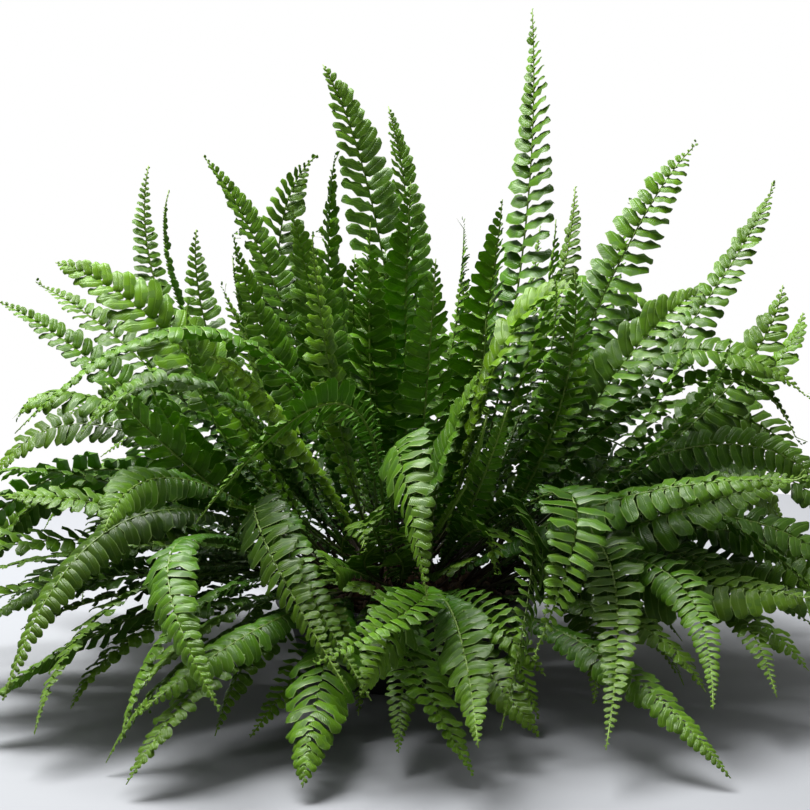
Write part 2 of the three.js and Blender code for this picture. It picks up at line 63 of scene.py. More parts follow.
# the mound: how fronds are spread, and how clear of each other and of the pot they stay
mound = {"mostPerTuft": 18, "leastRise": 34, "floorClearance": 7, "rimClearance": 5, "foot": 10,
         "tries": 24, "wander": 0.12, "stations": 160, "lanes": 21, "ownShare": 0.34, "nearCrowns": 8,
         "hang": 0.14, "stalkShare": 0.2, "stalkDip": 4, "stalkInset": 6, "bladeDip": 8,
         "bendFollows": 0.7, "standingBend": 0.5, "rootPull": 0.8, "rootShare": (0.75, 1), "veerBack": 0.6}
blade = {"half": 22, "leastHalf": 7, "halfByLength": 0.036, "bare": 0.15, "lowBare": 0.18,
         "footWidth": 0.35, "filling": 1.9, "taperFrom": 0.4, "taperPower": 1.4, "twistedBy": 0.45}
cells = {"size": 2.2, "low": np.array((-431.37, -431.37, -20.37)), "count": (392, 392, 250)}
goldenAngle = math.pi * (3 - math.sqrt(5))
# places in front of the middle and of the broad frond at the right that drawn fronds leave open
openViews = [dict(left=-110, right=110, depth=-70, low=125, high=290),
             dict(left=-200, right=110, depth=-112, low=150, high=290),
             dict(left=60, right=330, depth=-100, low=84, high=230)]
frondZones = [
    dict(seed=20001, count=44, high=(0, 0.14), radius=215, height=240, depth=(0.68, 1), veer=0.5,
         arch=(50, 116), out=(0.62, 0.82), stand=(0, 0), twist=44, half=(12, 17),
         bare=(0.14, 0.24)),
    dict(seed=3001, count=190, high=(0, 0.24), radius=352, height=240, depth=(0.46, 1), veer=0.6,
         arch=(40, 190), out=(0.4, 0.8), stand=(0, 0), twist=60, half=(15, 22), bare=(0.22, 0.38)),
    dict(seed=1, count=62, high=(0.6, 0.985), radius=310, height=322, depth=(0.76, 1.04), veer=0.2,
         arch=(10, 30), out=(0.78, 1.02), stand=(0.85, 1), twist=50, half=(17, 25),
         bare=(0.16, 0.3)),
    dict(seed=10001, count=200, high=(0.12, 0.7), radius=352, height=292, depth=(0.7, 1.04),
         veer=0.36, arch=(40, 190), out=(0.5, 0.9), stand=(0, 0.9), twist=66, half=(16, 24),
         bare=(0.24, 0.42)),
    dict(seed=17001, count=40, high=(0.3, 0.96), radius=195, height=165, depth=(0.6, 1.05), veer=0.3,
         arch=(20, 60), out=(0.6, 1), stand=(0.3, 1), twist=40, half=(13, 19), bare=(0.16, 0.3)),
    dict(seed=23001, count=90, high=(0, 0.4), radius=250, height=230, depth=(0.6, 1), veer=0.7,
         arch=(20, 80), out=(0.5, 0.8), stand=(0, 0), twist=60, half=(11, 16), bare=(0.24, 0.36)),
]

# the fronds that give the outline and the large forms seen from the front, low ones first
lowFronds = [
    dict(tip=(262, -104, 158), bend=(150, -92, 128), root=(52, -34), twist=44, half=29, bare=0.2),
    dict(tip=(262, -164, 88), bend=(188, -140, 100), root=(52, -44), twist=28, half=27),
    dict(tip=(24, -190, 10), bend=(20, -146, 92), root=(6, -62), twist=14, half=17, bare=0.16),
    dict(tip=(74, -176, 12), bend=(52, -140, 92), root=(24, -58), twist=-20, half=16, bare=0.16),
    dict(tip=(-30, -182, 16), bend=(-22, -146, 92), root=(-8, -60), twist=20, half=15, bare=0.16),
    dict(tip=(41, -290, 8), bend=(-14, -240, 88), root=(-14, -60), twist=-16, half=18),
    dict(tip=(-60, -322, 10), bend=(-50, -262, 88), root=(-24, -58), half=23),
    dict(tip=(-214, -180, 20), bend=(-180, -166, 94), root=(-48, -40), twist=10, half=18),
    dict(tip=(-213, -150, 98), bend=(-174, -130, 148), root=(-50, -36), twist=-14, half=17),
    dict(tip=(202, -200, 36), bend=(158, -170, 102), root=(40, -52), half=16),
    dict(tip=(-119, -216, 12), bend=(-96, -200, 96), root=(-20, -58), twist=20, half=15),
    dict(tip=(194, -296, 8), bend=(130, -240, 88), root=(30, -58), twist=12, half=15),
    dict(tip=(-262, -196, 18), bend=(-196, -160, 90), root=(-52, -44), twist=36, half=24),
    dict(tip=(-17, -204, 68), bend=(-86, -196, 134), root=(-30, -50), twist=16, half=15),
    dict(tip=(-34, -232, 60), bend=(-124, -206, 120), root=(-40, -44), twist=16, half=16),
    dict(tip=(88, -214, 50), bend=(40, -206, 108), root=(6, -62), twist=30, half=15),
    dict(tip=(138, -222, 24), bend=(98, -190, 116), root=(22, -58), twist=-20, half=16),
    dict(tip=(-254, -120, 58), bend=(-186, -104, 92), root=(-58, -30), twist=26, half=16),
    dict(tip=(-182, -262, 8), bend=(-146, -222, 86), root=(-36, -54), twist=50, half=14),
    dict(tip=(106, -252, 22), bend=(58, -250, 84), root=(8, -62), twist=24, half=13),
    dict(tip=(-140, -300, 10), bend=(-92, -240, 86), root=(-28, -58), twist=14, half=18),
    dict(tip=(-262, -120, 146), bend=(-208, -98, 152), root=(-56, -24), twist=-20, half=18, bare=0.24),
    dict(tip=(-84, -234, 16), bend=(-42, -206, 90), root=(-8, -62), twist=-14, half=13),
    dict(tip=(8, -262, 14), bend=(4, -206, 84), root=(2, -62), half=12),
    dict(tip=(250, -236, 20), bend=(176, -190, 88), root=(44, -50), twist=-20, half=17),
    dict(tip=(-26, -150, 118), bend=(-30, -120, 160), root=(-14, -46), twist=30, half=17, bare=0.22),
    dict(tip=(58, -150, 104), bend=(56, -130, 160), root=(20, -46), twist=-30, half=17, bare=0.22),
]
highFronds = [
    dict(tip=(90, 60, 466), bend=(99, 22, 285), root=(44, 8), half=26),
    dict(tip=(-58, 46, 427), bend=(-7, 30, 341), root=(-2, 2), twist=-24, half=25),
    dict(tip=(-12, 72, 397), bend=(14, 50, 311), root=(12, 34), half=17),
    dict(tip=(-144, 62, 362), bend=(-82, 40, 290), root=(-34, 26), twist=-20, half=19),
    dict(tip=(-68, 92, 358), bend=(-124, 70, 302), root=(-40, 44), half=21),
    dict(tip=(-50, 58, 362), bend=(-69, 40, 240), root=(-20, 30), half=19),
    dict(tip=(-190, 128, 352), bend=(-211, 90, 234), root=(-50, 34), twist=-30, half=17),
    dict(tip=(-172, 96, 336), bend=(-196, 70, 258), root=(-48, 20), twist=40, half=12),
    dict(tip=(-148, 40, 311), bend=(-156, 20, 220), root=(-46, 10), twist=-50, half=18),
    dict(tip=(-244, 10, 290), bend=(-148, -30, 270), root=(-58, -2), twist=-52, half=27),
    dict(tip=(-294, 62, 258), bend=(-211, 40, 225), root=(-62, 14), twist=-34),
    dict(tip=(-272, 118, 262), bend=(-208, 80, 242), root=(-54, 32), twist=-30),
    dict(tip=(-126, -128, 240), bend=(-86, -90, 226), root=(-20, -34), twist=-34, half=21),
    dict(tip=(4, -22, 348), bend=(-3, -20, 246), root=(-4, -14), half=23),
    dict(tip=(-78, -8, 326), bend=(-55, -20, 246), root=(-30, -18), twist=-40, half=23),
    dict(tip=(203, 44, 368), bend=(156, 20, 328), root=(52, 16), twist=48, half=23),
    dict(tip=(124, 96, 338), bend=(120, 70, 250), root=(42, 40), half=16),
    dict(tip=(152, 70, 326), bend=(133, 50, 238), root=(56, 34), twist=20, half=19),
    dict(tip=(267, 86, 338), bend=(231, 60, 259), root=(62, 30), twist=30, half=19),
    dict(tip=(268, 36, 272), bend=(257, 10, 193), root=(64, 8), twist=52, half=24),
    dict(tip=(292, 96, 246), bend=(278, 60, 186), root=(60, 42), twist=20),
    dict(tip=(116, -66, 279), bend=(57, -60, 285), root=(22, -24), twist=36, half=23),
    dict(tip=(201, -56, 276), bend=(150, -50, 256), root=(50, -22), twist=50, half=22),
    dict(tip=(214, -104, 248), bend=(207, -80, 178), root=(54, -36), twist=-16, half=14),
    dict(tip=(50, -132, 233), bend=(29, -120, 185), root=(-2, -46), twist=62, half=20),
    dict(tip=(55, -146, 208), bend=(42, -128, 140), root=(12, -52), twist=-40, half=11),
    dict(tip=(257, -128, 162), bend=(122, -100, 164), root=(44, -44), twist=24, half=25),
    dict(tip=(-276, -60, 137), bend=(-200, -60, 142), root=(-62, -14), half=20),
]
chosenFronds = [dict({"bare": blade["lowBare"]}, **wish) for wish in lowFronds] + highFronds


# draws between 0 and 1 that a seed fixes
def drawsFrom(seed):
    state = (seed * 2654435761) % 4294967296

    def nextShare():
        nonlocal state
        state = (state * 1664525 + 1013904223) % 4294967296
        return state / 4294967296

    nextShare()
    nextShare()
    return lambda low, high: low + (high - low) * nextShare()


def soilHeight(radius):
    return soil["edgeHeight"] + soil["crownRise"] * (1 - (radius / pot["topRadius"]) ** 2)


crowns = []
for i in range(crown["count"]):  # packed as a sunflower packs its seeds, the middle ones first
    radius = crown["spread"] * math.sqrt((i + 0.5) / crown["count"])
    angle = i * goldenAngle
    crowns.append({"x": radius * math.cos(angle), "y": radius * math.sin(angle),
                   "ground": soilHeight(radius), "fronds": []})


# a frond is a bow from its crown over a bend to its tip
def shapedFrond(base, wish):
    tip = np.array(wish["tip"], dtype=float)
    root = np.array((base["x"], base["y"], base["ground"] + crown["above"] - crown["rootDrop"]))
    away = np.array((tip[0] - root[0], tip[1] - root[1], 0))
    away = away / math.sqrt(away @ away)
    root = root + away * (crown["radius"] - crown["rootDepth"])
    bend = np.array(wish["bend"], dtype=float)
    side = np.array((-away[1], away[0], 0))
    apart = np.linalg.norm
    way = (apart(root - bend) + apart(bend - tip) + apart(root - tip)) / 2
    half = wish.get("half", min(blade["half"], blade["leastHalf"] + blade["halfByLength"] * way))
    return {"root": root, "bend": bend, "tip": tip, "side": side, "half": half,
            "twist": math.radians(wish.get("twist", 0)), "bare": wish.get("bare", blade["bare"]),
            "chosen": wish.get("chosen", False)}


# half the blade's width: it fills out soon after the bare stalk and tapers to the tip
def halfWidthAt(frond, shares):
    along = np.maximum(0, (shares - frond["bare"]) / (1 - frond["bare"]))
    filling = np.minimum(1, blade["footWidth"] + along * blade["filling"])
    past = np.maximum(0, (along - blade["taperFrom"]) / (1 - blade["taperFrom"]))
    tapering = 1 - past ** blade["taperPower"]
    return np.where(shares <= frond["bare"], 0, frond["half"] * filling * tapering)


def unit(vectors):
    return vectors / np.linalg.norm(vectors, axis=-1, keepdims=True)


# the rib's places, and the directions along it, across the blade and out of its upper face
def ribAt(frond, shares):
    share = shares[:, None]
    left = 1 - share
    root, bend, tip, side = frond["root"], frond["bend"], frond["tip"], frond["side"]
    place = root * (left * left) + bend * (2 * left * share) + tip * (share * share)
    along = unit((bend - root) * left + (tip - bend) * share)
    flat = unit(side - along * (along @ side)[:, None])
    lift = np.cross(along, flat)
    turn = frond["twist"] * np.minimum(1, share / blade["twistedBy"])
    across = flat * np.cos(turn) + lift * np.sin(turn)
    return place, along, across, np.cross(along, across)


# space is cut into small cells, and each cell remembers the tuft that holds it
rowStep = cells["count"][0]
layerStep = rowStep * cells["count"][1]
held = np.zeros(layerStep * cells["count"][2], dtype=np.uint8)
beside = (-1, 0, 1)
neighbours = [k * layerStep + j * rowStep + i for k in beside for j in beside for i in beside]


def cellOf(points):
    at = np.floor((points - cells["low"]) / cells["size"]).astype(np.int64)
    return at[..., 2] * layerStep + at[..., 1] * rowStep + at[..., 0]


def hold(points, owner):
    found = np.unique(cellOf(points))
    for step in neighbours:
        near = found + step
        near = near[(near >= 0) & (near < len(held))]
        held[near[held[near] == 0]] = owner


stationShares = np.arange(1, mound["stations"] + 1) / mound["stations"]
laneShares = 2 * np.arange(mound["lanes"]) / (mound["lanes"] - 1) - 1
stationRows = np.arange(mound["stations"])[:, None]


def spotsOn(frond):
    place, along, across, face = ribAt(frond, stationShares)
    offset = halfWidthAt(frond, stationShares)[:, None] * laneShares
    return (place[:, None] + across[:, None] * offset[..., None]
            + face[:, None] * (-mound["hang"] * np.abs(offset))[..., None])


def isClear(spots, owner):
    height = spots[..., 2]
    if height.min() < mound["floorClearance"]:
        return False
    radius = np.hypot(spots[..., 0], spots[..., 1])
    nearPot = radius < pot["topRadius"] + pot["rimWidth"] + mound["rimClearance"]
    overRim = (radius > crown["spread"]) & nearPot & (height < pot["height"] + mound["rimClearance"])
    isStalk = stationRows < mound["stations"] * mound["stalkShare"]
    inside = radius < pot["topRadius"] - mound["stalkInset"]
    if (overRim & ~((height > pot["height"] - mound["stalkDip"]) & isStalk & inside)).any():
        return False
    if (~overRim & nearPot & (height < pot["height"] - mound["bladeDip"])).any():
        return False
    at = cellOf(spots)
    if at.min() < 0 or at.max() >= len(held):
        return False
    owned = held[at]
    mine = (owned == owner) & (stationRows < mound["stations"] * mound["ownShare"])
    return bool(((owned == 0) | mine | overRim).all())


def tryFrond(index, wish):
    base = crowns[index]
    if len(base["fronds"]) >= mound["mostPerTuft"]:
        return False
    frond = shapedFrond(base, wish)
    spots = spotsOn(frond)
    if not isClear(spots, index + 1):
        return False
    hold(spots, index + 1)
    base["fronds"].append(frond)
    return True


# a crown stands clear of every frond but its own, so six posts around it are held
ringRadius = crown["radius"] - 1
posts = [(ringRadius * math.cos(math.pi / 3 * a), ringRadius * math.sin(math.pi / 3 * a)) for a in range(6)]
for index, base in enumerate(crowns):
    height = base["ground"]
    while height <= base["ground"] + crown["above"]:
        hold(np.array([(base["x"] + x, base["y"] + y, height) for x, y in posts]), index + 1)
        height += crown["ringStep"]


def crownsNear(place):
    def apart(index):
        return math.hypot(crowns[index]["x"] - place[0], crowns[index]["y"] - place[1])

    return sorted(range(len(crowns)), key=apart)[:mound["nearCrowns"]]


# a chosen frond that would cross another swings a little or roots a little aside
swings = [(aside, depth, lift)
          for lift in (0, 14, -14) for depth in (0, 16, -16) for aside in (0, 12, -12, 24, -24)]


def placeChosen(wish):
    for aside, depth, lift in swings:
        tip, bend = wish["tip"], wish["bend"]
        moved = dict(wish, chosen=True, tip=(tip[0] + aside, tip[1] + depth, tip[2]),
                     bend=(bend[0] + aside / 2, bend[1] + depth * mound["bendFollows"], bend[2] + lift))
        if any(tryFrond(index, moved) for index in crownsNear(wish["root"])):
            return True
    return False


def closesView(place):
    x, y, z = place
    return any(gap["left"] < x < gap["right"] and y < gap["depth"] and gap["low"] < z < gap["high"]
               for gap in openViews)


# a frond drawn for the dome's shell: low ones arch over and droop, high ones stand up
def zoneWish(zone, number, attempt, draw):
    heading = number * goldenAngle + draw(-1, 1) * attempt * mound["wander"]
    high = draw(*zone["high"])
    depth = draw(*zone["depth"])
    veer = draw(-1, 1) * zone["veer"]
    reach = depth * zone["radius"] * math.sqrt(1 - high * high)
    height = mound["foot"] + depth * zone["height"] * high
    ground = soil["edgeHeight"] + crown["above"]
    standing = ground + mound["standingBend"] * (height - ground)
    stand = draw(*zone["stand"])
    bendHeight = (1 - stand) * (height + draw(*zone["arch"])) + stand * standing
    out = reach * draw(*zone["out"])
    rooted = crown["spread"] * (1 - mound["rootPull"] * high) * draw(*mound["rootShare"])
    back = heading - veer * mound["veerBack"]
    bendHeight = max(bendHeight, ground + mound["leastRise"])
    wish = {"tip": (reach * math.cos(heading + veer), reach * math.sin(heading + veer), height),
            "bend": (out * math.cos(back), out * math.sin(back), bendHeight),
            "root": (rooted * math.cos(heading), rooted * math.sin(heading))}
    wish["twist"] = draw(-zone["twist"], zone["twist"])
    wish["half"] = draw(*zone["half"])
    wish["bare"] = draw(*zone["bare"])
    return wish


def placeDrawn(zone, number):
    for attempt in range(mound["tries"]):
        seed = zone["seed"] + number * mound["tries"] + attempt
        wish = zoneWish(zone, number, attempt, drawsFrom(seed))
        if closesView(wish["tip"]) or closesView(wish["bend"]):
            continue
        if any(tryFrond(index, wish) for index in crownsNear(wish["root"])):
            return True
    return False


leftOut = [wish for wish in chosenFronds if not placeChosen(wish)]
for zone in frondZones:
    for number in range(zone["count"]):
        placeDrawn(zone, number)
frondCount = sum(len(base["fronds"]) for base in crowns)
print("mound laid out:", frondCount, "fronds,", len(leftOut), "chosen ones left out")


# a mesh from points in millimetres and four-cornered faces
def meshPiece(name, points, quads, materials, slots=None, maps=None, tones=None, rims=None):
    mesh = bpy.data.meshes.new(name)
    mesh.vertices.add(len(points))
    mesh.vertices.foreach_set("co", (points * 0.001).astype(np.float32).ravel())
    mesh.loops.add(quads.size)
    mesh.loops.foreach_set("vertex_index", quads.astype(np.int32).ravel())
    mesh.polygons.add(len(quads))
    mesh.polygons.foreach_set("loop_start", np.arange(0, quads.size, 4, dtype=np.int32))
    if slots is not None:
        mesh.polygons.foreach_set("material_index", slots.astype(np.int32))
    mesh.update(calc_edges=True)
    mesh.shade_smooth()
    if maps is not None:
        layer = mesh.uv_layers.new(name="leaf")
        layer.uv.foreach_set("vector", maps[quads.ravel()].astype(np.float32).ravel())
    if tones is not None:
        layer = mesh.color_attributes.new(name="leafTone", type="FLOAT_COLOR", domain="POINT")
        layer.data.foreach_set("color", tones.astype(np.float32).ravel())
    if rims is not None:  # an edge between two rim points of one side is a crisp one
        ends = np.empty(len(mesh.edges) * 2, dtype=np.int32)
        mesh.edges.foreach_get("vertices", ends)
        sides = rims[ends.reshape(-1, 2)]
        crisp = mesh.attributes.new("sharp_edge", "BOOLEAN", "EDGE")
        crisp.data.foreach_set("value", (sides[:, 0] > 0) & (sides[:, 0] == sides[:, 1]))
    for material in materials:
        mesh.materials.append(material)
    mesh.validate()
    piece = bpy.data.objects.new(name, mesh)
    bpy.context.collection.objects.link(piece)
    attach(piece, "root")
    return piece


# leaf parts gathered into one mesh
class Gathered:
    def __init__(self):
        self.parts = []
        self.count = 0

    def add(self, points, quads, slot, maps=None, tones=None, rims=None):
        size = len(points)
        self.parts.append((points, np.array(quads) + self.count, np.full(len(quads), slot),
                           np.zeros((size, 2)) if maps is None else maps,
                           np.full((size, 4), 0.5) if tones is None else tones,
                           np.zeros(size, dtype=int) if rims is None else rims))
        self.count += size

    def made(self, name, materials):
        points, quads, *others = [np.concatenate(column) for column in zip(*self.parts)]
        return meshPiece(name, points, quads, materials, *others)


# the side faces between rings of points, each ring with as many sides
def tubeQuads(ringCount, sides):
    quads = []
    for s in range(ringCount - 1):
        for i in range(sides):
            a, b = s * sides + i, s * sides + (i + 1) % sides
            quads.append((a, b, b + sides, a + sides))
    return quads


# faces that close the first and the last ring, for an even number of sides
def capQuads(ringCount, sides):
    last = (ringCount - 1) * sides
    quads = []
    for i in range(0, sides - 2, 2):
        quads.append((last, last + i + 1, last + i + 2, last + i + 3))
        quads.append((0, i + 3, i + 2, i + 1))
    return quads


# one leaflet, from its base to its rounded tip: how wide each half is, with an ear by the rib
leaflet = {"fine": {"at": (0, 0.07, 0.24, 0.46, 0.7, 0.88, 0.97, 1),
                    "far": (0.13, 0.6, 0.46, 0.48, 0.5, 0.43, 0.27, 0.08),
                    "near": (0.11, 0.3, 0.42, 0.49, 0.48, 0.38, 0.22, 0.07)},
           "plain": {"at": (0, 0.1, 0.45, 0.77, 0.94, 1),
                     "far": (0.13, 0.58, 0.48, 0.47, 0.29, 0.08),
                     "near": (0.11, 0.34, 0.48, 0.44, 0.25, 0.07)},
           "thickness": 0.34, "crowning": 0.3, "ruffle": 0.06, "scallop": 0.055,
           "pitch": (3.4, 0.31), "leastPitch": 0.42, "overlap": 0.97, "shortest": 1.3, "waves": 11,
           # degrees by which the lowest leaflets lean back and the last ones lean on along the rib
           "back": 12, "onward": 38,
           # how far, in radians, a leaflet turns to the light, and how much wider a turned one is
           "mostTurn": 1.35, "turnedWider": 0.28, "widest": (0.52, 0.8),
           # degrees, and for the length a share, by which single leaflets scatter
           "scatter": {"lean": 3.4, "sickle": 3, "lift": 4.5, "droop": 7, "length": 0.035, "louvre": 6}}
rib = {"radius": (1.3, 0.42), "sides": 6, "stretch": 11, "flatness": 0.85, "stations": 121, "samples": 240}
# small leaflets on the stalk: where they begin, by the bare part's length, and how far they reach
early = {"from": 0.42, "half": 2.4, "lastByHalf": 0.35}
rolled = {"steps": 26, "tightening": 0.62, "half": (2.2, 0.9)}
ribShares = np.linspace(0, 1, rib["stations"])


def ribTable(frond, curl):
    place, along, across, face = ribAt(frond, ribShares)
    half = halfWidthAt(frond, ribShares)
    lowest, bare = frond["bare"] * early["from"], frond["bare"]
    onStalk = (ribShares > lowest) & (ribShares <= bare)
    growing = (early["lastByHalf"] * frond["half"] - early["half"]) * (ribShares - lowest) / (bare - lowest)
    half = np.where(onStalk, early["half"] + growing, half)
    if curl:  # the youngest end is still rolled up towards its upper face
        steps = rolled["steps"]
        places, alongs, faces = [place[-1]], [along[-1]], [face[-1]]
        for step in range(steps):
            turn = curl["turns"] * 2 * math.pi / steps
            radius = curl["radius"] * (1 - rolled["tightening"] * step / steps)
            ahead, up = alongs[-1], faces[-1]
            places.append(places[-1] + ahead * radius * turn)
            alongs.append(ahead * math.cos(turn) + up * math.sin(turn))
            faces.append(up * math.cos(turn) - ahead * math.sin(turn))
        place = np.concatenate((place, places[1:]))
        along = np.concatenate((along, alongs[1:]))
        face = np.concatenate((face, faces[1:]))
        across = np.concatenate((across, np.repeat(across[-1:], steps, axis=0)))
        half = np.concatenate((half, np.linspace(*rolled["half"], steps)))
    reach = np.concatenate(([0], np.cumsum(np.linalg.norm(np.diff(place, axis=0), axis=1))))
    return {"reach": reach, "place": place, "along": along, "across": across, "face": face, "half": half}


def ribSpot(table, reaches):
    found = []
    for key in ("place", "along", "across", "face"):
        columns = [np.interp(reaches, table["reach"], table[key][:, c]) for c in range(3)]
        found.append(np.stack(columns, axis=1))
    return [found[0]] + [unit(part) for part in found[1:]]


# what the stalk's and the leaflets' colours go by: nearness to the tip, own draw, age with painted shade,
# and side
def tonesOf(tipness, own, ageAndShade, side):
    return np.stack(np.broadcast_arrays(tipness, own, ageAndShade, side), axis=-1).reshape(-1, 4)


def growRib(gathered, table, ageAndShade, radii):
    whole = table["reach"][-1]
    sections = max(4, int(whole / rib["stretch"]))
    sides = rib["sides"]
    reaches = np.linspace(0, whole, sections)
    place, along, across, face = ribSpot(table, reaches)
    thick = radii[0] + (radii[1] - radii[0]) * (reaches / whole) ** 0.8
    turns = np.arange(sides) * 2 * math.pi / sides
    aside, up = np.cos(turns)[None, :, None], np.sin(turns)[None, :, None]
    ring = across[:, None] * aside + face[:, None] * up * rib["flatness"]
    points = (place[:, None] + ring * thick[:, None, None]).reshape(-1, 3)
    quads = tubeQuads(sections, sides) + capQuads(sections, sides)
    share = np.repeat(reaches / whole, sides)
    maps = np.stack((np.tile(np.arange(sides) / sides, sections), share), axis=1)
    gathered.add(points, quads, 1, maps, tonesOf(share, 0.5, ageAndShade, 1))


# where leaflets leave the rib: closer together where the blade is narrow, the two rows by turns
def leafletSeats(frond, table):
    whole = table["reach"][-1]
    start = np.interp(frond["bare"] * early["from"], ribShares, table["reach"][:rib["stations"]])
    fullPitch = leaflet["pitch"][0] + leaflet["pitch"][1] * frond["half"]
    sample = np.linspace(start, whole, rib["samples"])
    width = np.interp(sample, table["reach"], table["half"])
    width = width / max(width.max(), 1)
    pitch = fullPitch * (leaflet["leastPitch"] + (1 - leaflet["leastPitch"]) * width)
    count = np.concatenate(([0], np.cumsum(np.diff(sample) / pitch[1:])))
    pairs = int(count[-1])
    hand = np.concatenate((np.ones(pairs), -np.ones(pairs)))
    order = np.concatenate((np.arange(pairs) + 0.25, np.arange(pairs) + 0.72))
    reaches = np.interp(order, count, sample)
    return hand, reaches, np.interp(reaches, sample, pitch), (reaches - start) / (whole - start)


# the closed faces of a leaflet or a scale, for as many rows of four points
def leafletFaces(rows):
    return np.roll(np.array(tubeQuads(rows, 4) + capQuads(rows, 4))[:, ::-1], 1, axis=1)


def growLeaflets(gathered, frond, table, look, chance):
    hand, reaches, pitch, share = leafletSeats(frond, table)
    place, along, across, face = ribSpot(table, reaches)
    half = np.interp(reaches, table["reach"], table["half"])
    total = len(reaches)
    outline = leaflet["fine" if look["fine"] else "plain"]
    at = np.array(outline["at"])
    middles = (at[1:] + at[:-1]) / 2
    tipward = share ** 3

    def scattered(key):
        return chance.normal(0, leaflet["scatter"][key], total)

    stance = look["lean"] - leaflet["back"] * (1 - share) ** 4 + leaflet["onward"] * tipward
    lean = np.radians(stance + scattered("lean"))
    sickle = np.radians(look["sickle"] + scattered("sickle"))
    lift = np.radians(look["lift"] + scattered("lift"))
    droop = np.radians(look["droop"] * (1 - 0.5 * tipward) + scattered("droop"))
    slant = np.cos(np.minimum(lean + sickle / 2, 1))
    length = np.maximum(half, leaflet["shortest"]) / slant * (1 + scattered("length"))

    def heading(v):
        a = lean[:, None] + sickle[:, None] * v
        t = lift[:, None] + droop[:, None] * v
        sine, cosine = np.sin(a)[..., None], np.cos(a)[..., None]
        outward = (hand[:, None] * across)[:, None]
        flat = outward * cosine + along[:, None] * sine
        ahead = flat * np.cos(t)[..., None] - face[:, None] * np.sin(t)[..., None]
        aside = along[:, None] * cosine - outward * sine
        return ahead, aside

    ahead, _ = heading(middles[None, :])
    steps = ahead * (np.diff(at)[None, :, None] * length[:, None, None])
    centre = np.concatenate((np.zeros((total, 1, 3)), np.cumsum(steps, axis=1)), axis=1) + place[:, None]
    ahead, aside = heading(at[None, :])
    up = np.cross(aside, ahead) * hand[:, None, None]
    # each leaflet turns about its own length to lay its upper face to the light
    toLight = np.arctan2(-aside[:, 2, 2], up[:, 2, 2])
    toLight = np.clip(toLight, -leaflet["mostTurn"], leaflet["mostTurn"])
    louvre = look["seek"] * toLight * (1 - 0.4 * tipward)
    louvre = louvre + np.radians(look["louvre"] + scattered("louvre"))
    wide = pitch * (leaflet["overlap"] + leaflet["turnedWider"] * np.abs(np.sin(louvre)))
    wide = np.minimum(wide, leaflet["widest"][0] * length + leaflet["widest"][1])
    c, s = np.cos(louvre)[:, None, None], np.sin(louvre)[:, None, None]
    aside, up = aside * c + up * s, up * c - aside * s
    far = np.array(outline["far"])[None, :] * wide[:, None]
    near = np.array(outline["near"])[None, :] * wide[:, None]
    scallop = 1 + leaflet["scallop"] * np.where(np.arange(len(at)) % 2 == 0, -1, 1)
    rise = (leaflet["crowning"] * (far + near) * 0.5)[..., None] * up
    skin = leaflet["thickness"] * 0.5 * np.minimum(1, (far + near) / 4)[..., None] * up
    phase = chance.uniform(0, 2 * math.pi, (total, 2, 1)) + at * leaflet["waves"]
    ruffle = leaflet["ruffle"] * length[:, None, None] * np.sin(phase) * np.minimum(1, at * 3)
    farRim = centre + aside * (far * scallop)[..., None] + up * ruffle[:, 0, :, None]
    nearRim = centre - aside * (near * scallop)[..., None] + up * ruffle[:, 1, :, None]
    points = np.stack((farRim, centre + rise + skin, nearRim, centre + rise - skin), axis=2).reshape(-1, 3)
    rows = len(at)
    maps = np.stack((np.tile((1, 0.5, 0, 0.5), total * rows), np.tile(np.repeat(at, 4), total)), axis=1)
    own = chance.random(total)[:, None, None]
    tones = tonesOf((share ** 1.6)[:, None, None], own, look["ageAndShade"],
                    np.broadcast_to((0.5, 1, 0.5, 0), (total, rows, 4)))
    rims = np.tile((1, 0, 2, 0), total * rows)
    faces = leafletFaces(rows)
    starts = (np.arange(total) * rows * 4)[:, None, None]
    quads = np.where(hand[:, None, None] > 0, faces, faces[:, ::-1]) + starts
    gathered.add(points, quads.reshape(-1, 4), 0, maps, tones, rims)


# how a frond looks, drawn for each: an old low one hangs dark, a young high one stands light, and
# this tone by height also stands for painted shade low down and painted light higher up
frondHabit = {"heights": (110, 140, 230, 300, 400, 450), "agesAndShade": (0.74, 0.52, 0.46, 0.3, 0.3, 0.75),
              "ageScatter": 0.2, "lowHeight": 110, "lowSpread": 1.1,
              "rolledHeight": 70, "rolledShare": (0.06, 0.4),
              "roll": {"turns": (0.25, 0.7), "radius": (3, 6)},
              "degrees": {"lean": (3, 13), "sickle": (6, 18), "lift": (-26, 6), "droop": (14, 62),
                          "louvre": (-12, 16)},
              "seek": (0.3, 0.62)}


def lookOf(frond, chance):
    # painted shade and painted light: the usual age follows the tip's height, darker for most low fronds and
    # lighter for most high ones
    usualAgeAndShade = np.interp(frond["tip"][2], frondHabit["heights"], frondHabit["agesAndShade"])
    ageAndShade = float(np.clip(chance.normal(usualAgeAndShade, frondHabit["ageScatter"]), 0, 1))
    look = {key: chance.uniform(*ends) for key, ends in frondHabit["degrees"].items()}
    return dict(look, fine=frond["chosen"], ageAndShade=ageAndShade, seek=chance.uniform(*frondHabit["seek"]))


def growFrond(gathered, frond, seed):
    chance = np.random.default_rng(seed)
    height = frond["tip"][2]
    if height < frondHabit["lowHeight"]:  # the low ones spread their leaflets a little wider
        frond = dict(frond, half=frond["half"] * frondHabit["lowSpread"])
    look = lookOf(frond, chance)
    curl = None
    if chance.random() < frondHabit["rolledShare"][int(height > frondHabit["rolledHeight"])]:
        curl = {key: chance.uniform(*ends) for key, ends in frondHabit["roll"].items()}
    table = ribTable(frond, curl)
    growRib(gathered, table, look["ageAndShade"], rib["radius"])
    growLeaflets(gathered, frond, table, look, chance)


